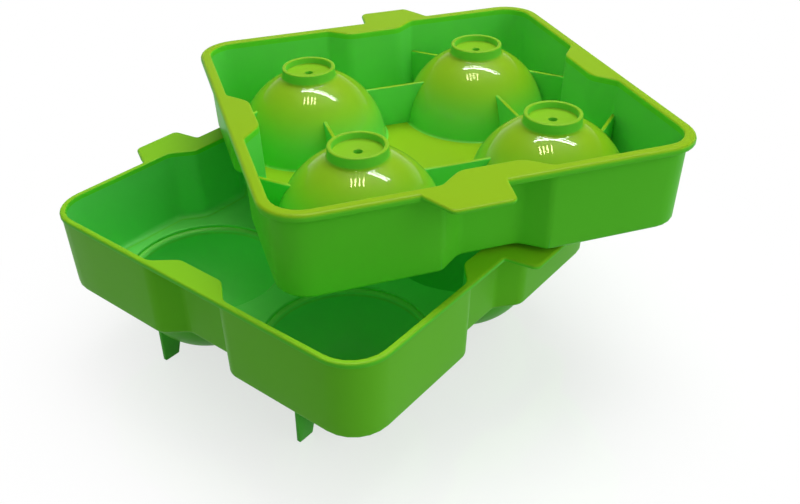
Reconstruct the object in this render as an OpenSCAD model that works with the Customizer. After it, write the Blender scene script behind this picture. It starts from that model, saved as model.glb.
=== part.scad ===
// Two-piece ice ball mould: a lower tray with four half-ball cups and an upper tray with four
// half-ball domes, shown opened, with the upper tray lying askew on the lower tray's rim.
// Millimetres, +Z up. Origin: on the standing plane, below the centre of the lower tray.

/* [Balls] */
// Diameter of the ball that a cup and a dome make together
ball_d = 45; // [38:0.5:52]
// Wall of the cups and of the domes
shell_t = 1.5; // [1:0.1:1.9]
// Space between neighbouring domes
ball_gap = 8.8; // [6.5:0.1:12]

/* [Tray walls] */
// Space between the domes and the upper wall, at the wall's top
wall_gap = 3.8; // [3:0.1:7]
// How far the lower rim stands proud of the wall below it
rim_proud = 0.4; // [0.2:0.1:1.2]
// Outer corner radius of the lower wall at the rim
corner_r = 11.5; // [8:0.5:15]
// Thickness of both walls
wall_t = 1.3; // [0.9:0.1:1.6]
// Draft of both walls, in degrees
draft = 1.5; // [0.5:0.1:2.2]
// Height of the lower rim above the tops of the domes when the mould is closed
rim_over = 0.8; // [-2:0.1:4]
// Thickness of the lower rim
rim_t = 1.5; // [1:0.1:2.5]
// Thickness of the lower floor
floor_t = 1; // [0.8:0.1:1.4]
// Space round the upper wall inside the lower wall when the mould is closed
nest_gap = 0.5; // [0.3:0.05:0.8]

/* [Waist notches] */
// Depth of the notch in the middle of each side
notch_depth = 5.5; // [4:0.1:7]
// Half width of the notch's flat bottom
notch_flat = 7.5; // [5:0.5:9]
// Run of the notch's slope along the side
notch_run = 6.5; // [5:0.5:9]
// Radius where the side turns into the notch
notch_out_r = 5.7; // [4.2:0.1:8]
// Radius where the slope meets the notch's bottom
notch_in_r = 2.5; // [1:0.1:4]

/* [Cups and feet] */
// Radial gap between a seat ring and the hole that it drops into
seat_gap = 0.3; // [0.2:0.05:0.5]
// Wall of the seat rings at the parting plane
ring_t = 1.2; // [0.9:0.1:1.6]
// Width of a cup's flange outside the seat hole
flange_over = 1.6; // [1:0.1:2]
// Thickness of a cup's flange
flange_t = 1.2; // [0.8:0.1:2]
// How far the feet reach below the cups
foot_drop = 0.5; // [0.3:0.1:3]
// Thickness of a foot blade
foot_t = 1.3; // [1:0.1:3]
// Length of a foot's flat tip
foot_tip = 5.3; // [3:0.1:8]
// How far a foot's outer edge stands in from the side of its cup
foot_set = 3.8; // [2.5:0.1:6]
// Sideways shift of a foot from the middle of its cup
foot_side = 1.5; // [0:0.1:3]
// Lean of a foot's inner edge, in degrees
foot_lean = 16; // [5:1:30]

/* [Upper tray] */
// Overhang of the lip beyond the upper wall
lip_w = 2; // [1:0.1:3]
// Thickness of the lip
lip_t = 2; // [1:0.1:3]
// Thickness of the upper floor
upper_floor_t = 1.2; // [0.8:0.1:2]
// Gap between the two floors, and below the lip, when the mould is closed
close_gap = 0.05; // [0.05:0.05:0.4]
// Outer radius of a filling collar
collar_r = 8.3; // [6:0.1:10]
// Wall of a filling collar
collar_t = 1.2; // [0.8:0.1:2]
// Height of a collar above the dome's top
collar_rise = 2.6; // [1.5:0.1:3.5]
// Depth of the dish inside a collar
dish_depth = 2.1; // [1:0.1:2.6]
// Diameter of the filling hole
fill_d = 2.5; // [1.5:0.1:5]
// Thickness of the ribs
rib_t = 1.2; // [0.8:0.1:2]
// Height of the ribs above the parting plane
rib_rise = 15.8; // [8:0.1:18]

/* [Finger tabs] */
// Reach of a tab beyond the rim
tab_reach = 9.5; // [6:0.5:14]
// Start of a tab's base, from the middle of the side
tab_start = 0.7; // [0:0.1:4]
// End of a tab's base, from the middle of the side
tab_end = 23.5; // [18:0.5:28]
// How much the tip draws in on the side of the tab's start
tab_in_start = 1.5; // [0.5:0.1:3]
// How much the tip draws in on the side of the tab's end
tab_in_end = 5; // [2:0.1:7]
// Radius of the tip's corners
tab_r = 2.2; // [1:0.1:3]
// Thickness of a tab, flush with the top of its rim
tab_t = 1.2; // [0.8:0.1:1.5]
// How far the upper tabs sit past the lower ones, across the middle
tab_ahead = 1.7; // [0:0.1:3]

/* [Resting place of the upper tray] */
// Turn of the upper tray on the lower one, in degrees
rest_turn = 55.8; // [53:0.1:58]
// Shift of the upper tray's centre along X, as a share of the ball pitch
rest_across = 0.222; // [0.18:0.002:0.246]
// Shift of the upper tray's centre along Y, as a share of the ball pitch
rest_along = 0.5; // [0.46:0.01:0.54]
// Clearance left where the upper tray lies on the lower rim
rest_gap = 0.2; // [0.15:0.05:0.5]

/* [Hidden] */
$fn = 96;
eps = 0.01;
// Segments in a corner arc, and in a notch arc
corner_n = 9;
notch_n = 4;
// Balls
ball_r = ball_d / 2;
shell_r = ball_r + shell_t;
ball_pitch = 2 * shell_r + ball_gap;
ball_at = ball_pitch / 2;
// Heights above the standing plane
part_z = foot_drop + shell_r;
rim_rise = shell_r + rim_over;
rim_z = part_z + rim_rise;
// Heights of the upper tray above its own parting plane
ring_h = floor_t + close_gap;
deck_z = ring_h + upper_floor_t;
lip_z = rim_rise + close_gap;
top_z = lip_z + lip_t;
// Outline: insets of the upper wall's faces at their tops, half width of the lower wall, full width
upper_out = wall_t + nest_gap;
upper_in = upper_out + wall_t;
wall_half = ball_at + shell_r + wall_gap + upper_in;
tray_w = 2 * (wall_half + rim_proud);
notch_turn = atan(notch_depth / notch_run);
lower_fall = (rim_rise - rim_t - floor_t) * tan(draft);
upper_fall = (lip_z - deck_z) * tan(draft);
lip_half = wall_half - upper_out + lip_w;
// Seats
ring_r = ball_r + ring_t;
seat_r = ring_r + seat_gap;
flange_r = seat_r + flange_over;
foot_out = shell_r - foot_set;

lower_green = [0.45, 0.66, 0.12];
upper_green = [0.50, 0.72, 0.14];

function turn2(v, a) = [v.x * cos(a) - v.y * sin(a), v.x * sin(a) + v.y * cos(a)];

function arc(c, r, a0, a1, n) =
    [for (i = [0 : n]) c + r * [cos(a0 + (a1 - a0) * i / n), sin(a0 + (a1 - a0) * i / n)]];

// One side of the notched outline, from its left corner arc to the notch's end, set in by o.
function notched_side(o) =
    let (ease_out = notch_out_r * tan(notch_turn / 2),
         ease_in = notch_in_r * tan(notch_turn / 2),
         corner = wall_half - corner_r,
         mouth = notch_flat + notch_run + ease_out,
         flat = notch_flat - ease_in,
         mouth_y = notch_out_r - wall_half,
         flat_y = notch_depth - notch_in_r - wall_half)
    concat(
        arc([-corner, -corner], corner_r - o, 180, 270, corner_n),
        arc([-mouth, mouth_y], notch_out_r - o, 270, 270 + notch_turn, notch_n),
        arc([-flat, flat_y], notch_in_r + o, 90 + notch_turn, 90, notch_n),
        arc([flat, flat_y], notch_in_r + o, 90, 90 - notch_turn, notch_n),
        arc([mouth, mouth_y], notch_out_r - o, 270 - notch_turn, 270, notch_n));

// The wall's outline seen from above, set in by o from the lower wall's outer face at the rim.
function notched(o) = [for (k = [0 : 3]) each [for (p = notched_side(o)) turn2(p, 90 * k)]];

function unit(v) = v / norm(v);

// Arc of radius r in place of corner c between the points p and n.
function fillet(p, c, n, r) =
    let (a = unit(p - c),
         b = unit(n - c),
         half = acos(a * b) / 2,
         m = c + unit(a + b) * r / sin(half),
         s = a * r / tan(half) + c - m,
         e = b * r / tan(half) + c - m)
    [for (i = [0 : notch_n]) m + r * unit(s * (1 - i / notch_n) + e * i / notch_n)];

function on_plane(points, z) = [for (p = points) [p.x, p.y, z]];

// Solid between closed rings of points of equal length, joined in order and back to the first.
module ring_sweep(rings) {
    n = len(rings[0]);
    m = len(rings);
    polyhedron(
        points = [for (r = rings) each r],
        faces = [for (j = [0 : m - 1], i = [0 : n - 1])
            [j * n + i, (j + 1) % m * n + i, (j + 1) % m * n + (i + 1) % n, j * n + (i + 1) % n]]);
}

// Wall ring whose faces lean in by fall from z1 down to z0.
module wall_ring(set_in, fall, z0, z1) {
    ring_sweep([
        on_plane(notched(set_in + fall), z0),
        on_plane(notched(set_in), z1),
        on_plane(notched(set_in + wall_t), z1),
        on_plane(notched(set_in + wall_t + fall), z0)]);
}

module plate(z0, t) {
    translate([0, 0, z0]) linear_extrude(t) children();
}

module round_square(half, r) {
    square([2 * half, 2 * (half - r)], center = true);
    square([2 * (half - r), 2 * half], center = true);
    for (x = [-1, 1], y = [-1, 1])
        translate([x * (half - r), y * (half - r)]) circle(r);
}

// Rim that bridges the notches: straight outside, notched inside.
module rim_plate(half, set_in) {
    difference() {
        round_square(half, corner_r + half - wall_half);
        polygon(notched(set_in));
    }
}

// Tab on the front side of a tray whose rim is at half, towards -X.
module tab_outline(half) {
    base_in = [-tab_start, -half];
    base_out = [-tab_end, -half];
    tip_in = [-tab_start - tab_in_start, -half - tab_reach];
    tip_out = [-tab_end + tab_in_end, -half - tab_reach];
    polygon(concat([base_out], fillet(base_out, tip_out, tip_in, tab_r),
                   fillet(tip_out, tip_in, base_in, tab_r), [base_in]));
}

module tab(half, top) {
    plate(top - tab_t, tab_t) tab_outline(half);
}

module at_balls() {
    for (x = [-1, 1], y = [-1, 1])
        translate([x * ball_at, y * ball_at, 0]) children();
}

// Lower tray

module lower_wall() {
    wall_ring(0, lower_fall, part_z + floor_t, rim_z - rim_t);
}

module lower_floor() {
    difference() {
        plate(part_z, floor_t) polygon(notched(lower_fall));
        at_balls() translate([0, 0, part_z - eps]) cylinder(r = seat_r, h = floor_t + 2 * eps);
    }
}

module lower_rim() {
    plate(rim_z - rim_t, rim_t) rim_plate(tray_w / 2, wall_t);
}

module lower_tab(turn) {
    rotate([0, 0, turn]) mirror([1, 0, 0]) tab(tray_w / 2, rim_z);
}

module cup(x, y) {
    translate([x * ball_at, y * ball_at, part_z])
        difference() {
            union() {
                intersection() {
                    sphere(shell_r);
                    translate([0, 0, -shell_r]) cylinder(r = shell_r, h = shell_r - flange_t / 2);
                }
                translate([0, 0, -flange_t]) cylinder(r = flange_r, h = flange_t);
            }
            sphere(ball_r);
        }
}

// Blade under a cup, on the tray's outer side of it.
module foot(x, y) {
    root = shell_r - sqrt(pow(shell_r, 2) - pow(foot_out, 2)) / 2;
    tip_at = foot_out - foot_tip;
    difference() {
        translate([x * ball_at + y * foot_side, y * ball_at, 0])
            rotate([0, 0, 90 * y]) rotate([90, 0, 0])
                linear_extrude(foot_t, center = true)
                    polygon([[tip_at, 0], [foot_out, 0], [foot_out, foot_drop + root],
                             [tip_at - (foot_drop + root) * tan(foot_lean), foot_drop + root]]);
        translate([x * ball_at, y * ball_at, part_z]) sphere(shell_r);
    }
}

// Upper tray, about the middle of its own parting plane

// The two seat rings that lie on the rim, and the floor's far edge on the opposite rim, set the lean.
rest_at = ball_pitch * [rest_across, rest_along];
back_ring = rest_at + turn2([ball_at, ball_at], rest_turn);
right_ring = rest_at + turn2([ball_at, -ball_at], rest_turn);
rim_in = wall_half - wall_t;
lean_back = [back_ring.x - sqrt(pow(ring_r, 2) - pow(rim_in - back_ring.y, 2)), rim_in, 0];
lean_right = [rim_in, right_ring.y - sqrt(pow(ring_r, 2) - pow(rim_in - right_ring.x, 2)), 0];
lean_left = [-tray_w / 2, notch_flat + notch_run, -ring_h];
lean = unit(cross(lean_right - lean_left, lean_back - lean_left));
rest_z = lean_left.z - (lean.x * (rest_at.x - lean_left.x) + lean.y * (rest_at.y - lean_left.y)) / lean.z;

module rest_pose() {
    translate([rest_at.x, rest_at.y, rim_z + rest_z + rest_gap])
        rotate(a = acos(lean.z), v = cross([0, 0, 1], lean))
            rotate([0, 0, rest_turn])
                children();
}

module upper_wall() {
    rest_pose() wall_ring(upper_out, upper_fall, deck_z, lip_z);
}

module upper_floor() {
    rest_pose() difference() {
        union() {
            plate(ring_h, upper_floor_t) polygon(notched(upper_out + upper_fall));
            at_balls() cylinder(r = ring_r, h = deck_z);
        }
        at_balls() sphere(ball_r);
    }
}

module upper_lip() {
    rest_pose() plate(lip_z, lip_t) rim_plate(lip_half, upper_in);
}

module upper_tab(turn) {
    rest_pose() rotate([0, 0, turn]) translate([tab_ahead, 0, 0]) tab(lip_half, lip_z + lip_t);
}

// Dome with its filling collar, dish and hole.
module dome(x, y) {
    rest_pose() translate([x * ball_at, y * ball_at, 0])
        difference() {
            union() {
                intersection() {
                    sphere(shell_r);
                    translate([0, 0, deck_z]) cylinder(r = shell_r, h = shell_r);
                }
                translate([0, 0, ball_r - shell_t])
                    cylinder(r = collar_r, h = 2 * shell_t + collar_rise);
            }
            sphere(ball_r);
            translate([0, 0, shell_r + collar_rise - dish_depth])
                cylinder(r = collar_r - collar_t, h = dish_depth + eps);
            cylinder(d = fill_d, h = shell_r + collar_rise);
        }
}

module rib_plate(length) {
    translate([-length / 2, -rib_t / 2, deck_z]) cube([length, rib_t, rib_rise - deck_z]);
}

// Straight ribs between neighbouring domes.
module cross_ribs() {
    rest_pose() difference() {
        for (k = [0 : 3])
            rotate([0, 0, 90 * k]) translate([0, -ball_at, 0]) rib_plate(ball_pitch);
        at_balls() sphere(shell_r);
    }
}

// Slanting ribs from the domes to the corners where the notches start.
module corner_ribs() {
    mouth = notch_flat + notch_run + upper_in * tan(notch_turn / 2);
    rest_pose() intersection() {
        difference() {
            for (k = [0 : 3], s = [-1, 1])
                rotate([0, 0, 90 * k]) mirror([s > 0 ? 0 : 1, 0, 0])
                    translate([mouth, upper_in - wall_half, 0]) rotate([0, 0, 45]) rib_plate(2 * ball_r);
            at_balls() sphere(shell_r);
        }
        upper_hollow();
    }
}

// Space inside the upper wall, from the floor up.
module upper_hollow() {
    n = len(notched(0));
    polyhedron(
        points = concat(on_plane(notched(upper_in + upper_fall), deck_z), on_plane(notched(upper_in), lip_z)),
        faces = concat([[for (i = [0 : n - 1]) i], [for (i = [0 : n - 1]) 2 * n - 1 - i]],
                       [for (i = [0 : n - 1]) [i, n + i, n + (i + 1) % n, (i + 1) % n]]));
}

color(lower_green) lower_wall();
color(lower_green) lower_floor();
color(lower_green) lower_rim();
color(lower_green) lower_tab(-90);  // lower_tab_left
color(lower_green) lower_tab(90);  // lower_tab_right
color(lower_green) cup(-1, -1);  // cup_left
color(lower_green) cup(1, -1);  // cup_front
color(lower_green) cup(1, 1);  // cup_right
color(lower_green) cup(-1, 1);  // cup_back
color(lower_green) foot(-1, -1);  // foot_left
color(lower_green) foot(1, -1);  // foot_front
color(lower_green) foot(1, 1);  // foot_right
color(lower_green) foot(-1, 1);  // foot_back
color(upper_green) upper_wall();
color(upper_green) upper_floor();
color(upper_green) upper_lip();
color(upper_green) upper_tab(0);  // upper_tab_front
color(upper_green) upper_tab(180);  // upper_tab_back
color(upper_green) dome(-1, 1);  // dome_left
color(upper_green) dome(-1, -1);  // dome_front
color(upper_green) dome(1, -1);  // dome_right
color(upper_green) dome(1, 1);  // dome_back
color(upper_green) cross_ribs();
color(upper_green) corner_ribs();
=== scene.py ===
"""Ice ball mould in two trays of green plastic, opened, on a white stage.

Each piece is a surface worked out with numpy and put into a mesh by an operator of its own.
"""

import math

import bpy
import numpy as np
from bpy.props import FloatProperty, FloatVectorProperty, PointerProperty
from mathutils import Matrix, Vector


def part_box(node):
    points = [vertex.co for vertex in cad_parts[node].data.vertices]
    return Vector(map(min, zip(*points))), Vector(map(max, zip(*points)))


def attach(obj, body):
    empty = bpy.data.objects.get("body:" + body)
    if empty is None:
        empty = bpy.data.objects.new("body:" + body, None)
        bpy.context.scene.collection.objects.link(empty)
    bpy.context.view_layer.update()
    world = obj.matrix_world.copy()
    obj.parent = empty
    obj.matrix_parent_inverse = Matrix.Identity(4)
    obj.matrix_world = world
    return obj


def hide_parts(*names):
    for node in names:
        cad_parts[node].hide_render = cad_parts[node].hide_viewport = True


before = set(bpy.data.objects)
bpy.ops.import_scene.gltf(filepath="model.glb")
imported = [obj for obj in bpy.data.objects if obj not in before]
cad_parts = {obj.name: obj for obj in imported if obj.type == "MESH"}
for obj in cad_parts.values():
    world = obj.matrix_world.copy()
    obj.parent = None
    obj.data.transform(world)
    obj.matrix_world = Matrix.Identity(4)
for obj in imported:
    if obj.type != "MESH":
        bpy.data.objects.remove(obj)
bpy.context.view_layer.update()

bl_info = {
    "name": "Ice ball mould",
    "version": (1, 0, 0),
    "blender": (4, 5, 0),
    "location": "3D View > Sidebar > Mould",
    "description": "Builds an opened two-piece ice ball mould of green plastic on a white stage",
    "category": "Add Mesh",
}

# Units, upper corners from the frame, and the middle of the stage
MM = 0.001
TINY = 1e-8
RIM_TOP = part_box("lower_rim")[1]
WALL_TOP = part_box("lower_wall")[1]
CUP_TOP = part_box("cup_right")[1]
MIDDLE = Vector((0.012, 0.024, 0.05))

# Turns and places of what stands four times
RIGHT_ANGLES = ((1, 0), (0, 1), (-1, 0), (0, -1))
FLOOR_QUARTERS = ((1, -1), (1, 1), (-1, 1), (-1, -1))
LOWER_PLACES = {"left": (-1, -1), "front": (1, -1), "right": (1, 1), "back": (-1, 1)}
UPPER_PLACES = {"left": (-1, 1), "front": (-1, -1), "right": (1, -1), "back": (1, 1)}

# Kinds of pieces, and the shares that paint light and shade into their colour and give their polish
KINDS = ("wall", "floor", "rim", "cup", "dome", "ribs", "foot")
SHARES = ("lit_lime", "deep_shade_fern", "polish")

# Small edges, and how far pieces reach into what they meet
SHARP_ANGLE = math.radians(35)
LEAST_RADIUS = 0.05 * MM
HOLE_EDGE = 0.2 * MM
RING_EDGE = 0.25 * MM
FINE_EDGE = 0.3 * MM
SOFT_EDGE = 0.4 * MM
SEAM_FLAT = 0.4 * MM
RIB_IN_FLOOR = 0.3 * MM
RIB_IN_WALL = 0.4 * MM
RIB_IN_DOME = 0.5 * MM
FOOT_IN_CUP = 0.7 * MM


# Sizes and colours that a user would change


def length(name, text, default):
    """A length property in metres."""
    return FloatProperty(name=name, description=text, default=default, subtype="DISTANCE", precision=5)


def angle(name, text, degrees):
    """An angle property, given in degrees."""
    return FloatProperty(name=name, description=text, default=math.radians(degrees), subtype="ANGLE")


def share(name, text, default):
    """A share from nothing to one."""
    return FloatProperty(name=name, description=text, default=default, min=0, max=1, subtype="FACTOR")


def colour(name, text, default):
    """A colour property, in linear light."""
    return FloatVectorProperty(
        name=name, description=text, default=default, size=3, min=0, max=1, subtype="COLOR"
    )


def number(name, text, default):
    """A plain number."""
    return FloatProperty(name=name, description=text, default=default)


def power(name, text, default):
    """A lamp's power in watts."""
    return FloatProperty(name=name, description=text, default=default, subtype="POWER")


class BallSizes(bpy.types.PropertyGroup):
    """Sizes of the balls and of the shells that mould them."""

    radius: length("Ball radius", "Radius of the ball that a cup and a dome make together", 22.5 * MM)
    shell: length("Shell", "Wall of the cups and of the domes", 1.5 * MM)
    pitch: length("Pitch", "Distance between neighbouring ball centres", 56.8 * MM)


class WallSizes(bpy.types.PropertyGroup):
    """Sizes of the notched walls of both trays."""

    half: length("Half width", "Half width of the lower wall's outer face at the rim", WALL_TOP[0])
    thick: length("Thickness", "Thickness of both walls", 1.3 * MM)
    draft: angle("Draft", "Lean of both walls", 1.5)
    corner: length("Corner", "Outer corner radius of the lower wall at the rim", 11.5 * MM)
    notch_depth: length("Notch depth", "Depth of the notch in the middle of each side", 5.5 * MM)
    notch_flat: length("Notch flat", "Half width of the notch's flat bottom", 7.5 * MM)
    notch_run: length("Notch run", "Run of the notch's slope along the side", 6.5 * MM)
    notch_out: length("Notch mouth radius", "Radius where the side turns into the notch", 5.7 * MM)
    notch_in: length("Notch foot radius", "Radius where the slope meets the notch's bottom", 2.5 * MM)
    base_round: length("Base round", "Radius of the outer edge below the floor", 1.4 * MM)
    floor_fillet: length("Floor fillet", "Radius of the hollow where the wall meets the floor", 1.8 * MM)
    edge_round: length("Edge round", "Radius of the small moulded edges", 0.35 * MM)
    nose_round: length("Nose round", "Radius of the upper outer edge of the rims", 1.3 * MM)


class TabSizes(bpy.types.PropertyGroup):
    """Sizes of the finger tabs."""

    reach: length("Reach", "Reach of a tab beyond the rim", 9.5 * MM)
    start: length("Start", "Start of a tab's base, from the middle of the side", 0.7 * MM)
    end: length("End", "End of a tab's base, from the middle of the side", 23.5 * MM)
    in_start: length("Draw-in at the start", "How much the tip draws in on the side of the start", 1.5 * MM)
    in_end: length("Draw-in at the end", "How much the tip draws in on the side of the end", 5.0 * MM)
    tip_round: length("Tip round", "Radius of the tip's corners", 2.2 * MM)
    root_round: length("Root round", "Radius of the hollow corners at the base", 1.0 * MM)
    thick: length("Thickness", "Thickness of a tab, flush with the top of its rim", 1.2 * MM)
    ahead: length("Ahead", "How far the upper tabs sit past the lower ones, across the middle", 1.7 * MM)


class LowerSizes(bpy.types.PropertyGroup):
    """Sizes of the lower tray."""

    part_z: length("Parting height", "Height of the plane in which the balls part", CUP_TOP[2])
    floor: length("Floor", "Thickness of the floor", 1.0 * MM)
    rim_half: length("Rim half width", "Half width over the rim", RIM_TOP[0])
    rim_z: length("Rim height", "Height of the rim's top", RIM_TOP[2])
    rim: length("Rim", "Thickness of the rim", 1.5 * MM)
    seat: length("Seat radius", "Radius of the holes that the seat rings drop into", 24.0 * MM)
    flange: length("Flange radius", "Radius of a cup's flange below the floor", 25.6 * MM)
    flange_thick: length("Flange", "Thickness of a cup's flange", 1.2 * MM)
    mouth_round: length("Mouth round", "Radius of the edge between a cup and its ledge", 1.2 * MM)
    foot_thick: length("Foot", "Thickness of a foot blade", 1.3 * MM)
    foot_tip: length("Foot tip", "Length of a foot's flat tip", 5.3 * MM)
    foot_out: length("Foot reach", "Distance of a foot's outer edge from the centre of its cup", 20.2 * MM)
    foot_side: length("Foot shift", "Sideways shift of a foot from the middle of its cup", 1.5 * MM)
    foot_lean: angle("Foot lean", "Lean of a foot's inner edge", 16)


class UpperSizes(bpy.types.PropertyGroup):
    """Sizes of the upper tray, above its own parting plane, and its place on the lower one."""

    inset: length("Inset", "Inset of the wall's outer face from the lower wall's, at the top", 1.8 * MM)
    ring_z: length("Ring height", "Height of the seat rings below the floor", 1.05 * MM)
    ring: length("Ring radius", "Outer radius of the seat rings", 23.7 * MM)
    floor: length("Floor", "Thickness of the floor", 1.2 * MM)
    lip_z: length("Lip height", "Height of the lip's underside", 24.85 * MM)
    lip: length("Lip", "Thickness of the lip", 2.0 * MM)
    lip_half: length("Lip half width", "Half width over the lip", 59.5 * MM)
    collar: length("Collar radius", "Outer radius of a filling collar", 8.3 * MM)
    collar_wall: length("Collar wall", "Wall of a filling collar", 1.2 * MM)
    collar_rise: length("Collar rise", "Height of a collar above the dome's top", 2.6 * MM)
    dish: length("Dish", "Depth of the dish inside a collar", 2.1 * MM)
    hole: length("Hole radius", "Radius of the filling hole", 1.25 * MM)
    collar_fillet: length("Collar fillet", "Radius of the hollow where a collar meets its dome", 1.2 * MM)
    swell: length("Swell", "How much a dome's outside rises above a ball's at the collar", 0.9 * MM)
    dome_fillet: length("Dome fillet", "Radius of the hollow where a dome meets the floor", 0.8 * MM)
    rib: length("Rib", "Thickness of the ribs", 1.2 * MM)
    rib_rise: length("Rib rise", "Height of the ribs above the parting plane", 15.8 * MM)
    turn: angle("Turn", "Turn of the upper tray on the lower one", 55.8)
    rest_x: length("Rest X", "Place of the upper tray's middle along X", 12.61 * MM)
    rest_y: length("Rest Y", "Place of the upper tray's middle along Y", 28.4 * MM)
    rest_gap: length("Rest gap", "Clearance where the upper tray lies on the rim", 0.2 * MM)


class PlasticLook(bpy.types.PropertyGroup):
    """Colour and gloss of the moulded plastic, with light and shade painted into the colour."""

    # Painted light: lime stands for light falling on level faces near the rims
    lit_lime: colour("Lime", "Colour of the plastic on level faces near the rims", (0.310, 0.560, 0.006))
    # Painted shade: leaf stands for shade on upright faces
    shade_leaf: colour("Leaf", "Colour of the plastic on upright outer faces", (0.140, 0.810, 0.034))
    # Painted shade: fern stands for the greener shade deep inside the trays
    deep_shade_fern: colour("Fern", "Colour of the plastic deep inside the trays", (0.150, 0.820, 0.150))
    # Depths and shares that place the painted light (lime) near the rims and the painted shade (leaf, fern)
    # deeper down
    deep: length("Deep", "Depth below a rim at which the plastic looks deepest", 26 * MM)
    shallow: length("Shallow", "Depth below a rim down to which the plastic looks as on the rim", 3 * MM)
    deep_upper: share("Upper lime", "How much lime is left on level faces deep inside the upper tray", 0.95)
    deep_lower: share("Lower lime", "How much lime is left on level faces deep inside the lower tray", 0.12)
    deep_dome: share("Dome lime", "How much lime is left on level faces low on the domes", 0.3)
    outer_lime: share("Outer lime", "How much lime the lower wall has outside", 0.25)
    ledge_lime: share("Ledge lime", "How much lime the cups' ledges have", 0.35)
    rim_lime: share("Rim lime", "How much of its lime the lower rim keeps", 0.72)
    dish_lime: share("Dish lime", "How much of their lime the collars and dishes keep", 0.8)
    collar_lime: share("Collar lime", "Least lime on the collars", 0.3)
    collar_fern: share("Collar fern", "Least fern on the collars", 0.5)
    foot_fern: share("Foot fern", "How much fern the feet have", 0.4)
    upper_fern: share("Upper fern", "How much of its fern the upper tray keeps", 0.6)
    flow: share("Flow marks", "How much the wide flow marks mix the greens", 0.12)
    satin: share("Satin", "Roughness of the moulded skin", 0.4)
    polish: share("Polish", "Roughness of the gloss on the polished cups and domes", 0.02)
    uneven: share("Unevenness", "How much the roughness changes over the skin", 0.08)
    ripple: share("Ripple", "Strength of the moulded skin's fine ripple", 0.01)
    bend: number("Bend", "Refractive index of the skin", 1.16)
    polish_bend: number("Polish bend", "Refractive index of the polish", 1.26)


class StageLook(bpy.types.PropertyGroup):
    """Floor, lamps and camera."""

    floor: colour("Floor", "Colour of the floor as the camera sees it", (0.38, 0.38, 0.38))
    bounce: colour("Bounce", "Colour of the floor as it lights the object", (0.19, 0.19, 0.19))
    mirror: share("Mirror", "Share of mirror gloss on the floor", 0.14)
    mirror_rough: share("Mirror roughness", "Roughness of the floor's mirror gloss", 0.06)
    lift: share("Lift", "Light added to the floor as the camera and gloss see it", 0.69)
    near: length("Near", "Distance from the object at which the floor starts to fade to white", 0.06)
    far: length("Far", "Distance from the object at which the floor is plain white", 0.15)
    ambient: share("Ambient", "Strength of the white surroundings", 0.32)
    ceiling: share("Ceiling", "Strength of the surroundings overhead, as gloss shows them", 0.12)
    ceiling_start: share("Ceiling start", "Upward share of a direction at which the ceiling starts", 0.05)
    ceiling_full: share("Ceiling full", "Upward share of a direction at which the ceiling is full", 0.5)
    key: power("Key lamp", "Power of the soft lamp overhead", 6.7)
    fill: power("Fill lamp", "Power of the wide lamp at the side", 2.8)
    glow: power("Glow lamp", "Power of the light that comes through the upper tray's floor", 0.005)
    strip: number("Strip lamps", "Brightness of the strip lamps in the gloss", 68)
    window: number("Window lamp", "Brightness of the barred lamp in the gloss", 70)
    lens: number("Lens", "Focal length of the camera in mm", 39.498)


# Lines and outlines


def unit(v):
    """Each row of an array divided by its length."""
    return v / np.linalg.norm(v, axis=-1, keepdims=True)


def arc(centre, radius, start, end, steps):
    """Points of a circle arc in a plane: the centre plus the radius times the cosine and sine of evenly
    spaced angles, in degrees."""
    a = np.radians(np.linspace(start, end, steps + 1))
    return np.asarray(centre) + radius * np.stack([np.cos(a), np.sin(a)], axis=1)


def quarter_turns(points, times):
    """Points turned about the origin by a number of right angles."""
    c, s = RIGHT_ANGLES[times % 4]
    return points @ np.array([[c, s], [-s, c]], dtype=float)


def rounded(corners, radii, steps=6, fill=3):
    """Closed outline with rounded corners, as points, outward normals and how far each can be set in,
    which is a metre where nothing limits it. A corner's arc stands about the point that lies one radius
    off both its sides, on the inner side at a convex corner and on the outer side at a hollow one. Its
    normal turns evenly from one side's to the next one's, and the straight sides between the arcs get
    evenly spaced points."""
    corners = np.asarray(corners, dtype=float)
    radii = np.asarray(radii, dtype=float)[:, None]
    into = unit(corners - np.roll(corners, 1, axis=0))
    out = unit(np.roll(corners, -1, axis=0) - corners)
    turn = np.arctan2(into[:, 0] * out[:, 1] - into[:, 1] * out[:, 0], np.sum(into * out, axis=1))
    side = np.sign(turn)[:, None]
    normal_in = np.stack([into[:, 1], -into[:, 0]], axis=1)
    touch = corners - into * radii * np.tan(np.abs(turn) / 2)[:, None]
    centre = touch - side * radii * normal_in
    a = np.arctan2(normal_in[:, 1], normal_in[:, 0])[:, None] + turn[:, None] * np.linspace(0, 1, steps + 1)
    normals = np.stack([np.cos(a), np.sin(a)], axis=2)
    points = centre[:, None] + (side * radii)[:, None] * normals
    reach = np.where(side > 0, radii - LEAST_RADIUS, 1.0) * np.ones((1, steps + 1))
    t = (np.arange(1, fill + 1) / (fill + 1))[None, :, None]
    straight = points[:, -1:] * (1 - t) + np.roll(points[:, :1], -1, axis=0) * t
    points = np.concatenate([points, straight], axis=1)
    normals = np.concatenate([normals, np.repeat(normals[:, -1:], fill, axis=1)], axis=1)
    reach = np.concatenate([reach, np.ones((len(corners), fill))], axis=1)
    return points.reshape(-1, 2), normals.reshape(-1, 2), reach.reshape(-1)


def set_in(loop, insets, heights):
    """Rings of a loop: each point moved against its normal by the ring's inset, at the ring's height."""
    points, normals, reach = loop
    o = np.minimum(np.asarray(insets, dtype=float)[:, None], reach[None])
    flat = points[None] - o[:, :, None] * normals[None]
    z = np.broadcast_to(np.asarray(heights, dtype=float)[:, None, None], flat.shape[:2] + (1,))
    return np.concatenate([flat, z], axis=2)


def without_doubles(path):
    """A closed path without points that repeat the one before."""
    step = np.linalg.norm(path - np.roll(path, 1, axis=0), axis=1)
    return path[step > TINY]


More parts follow.
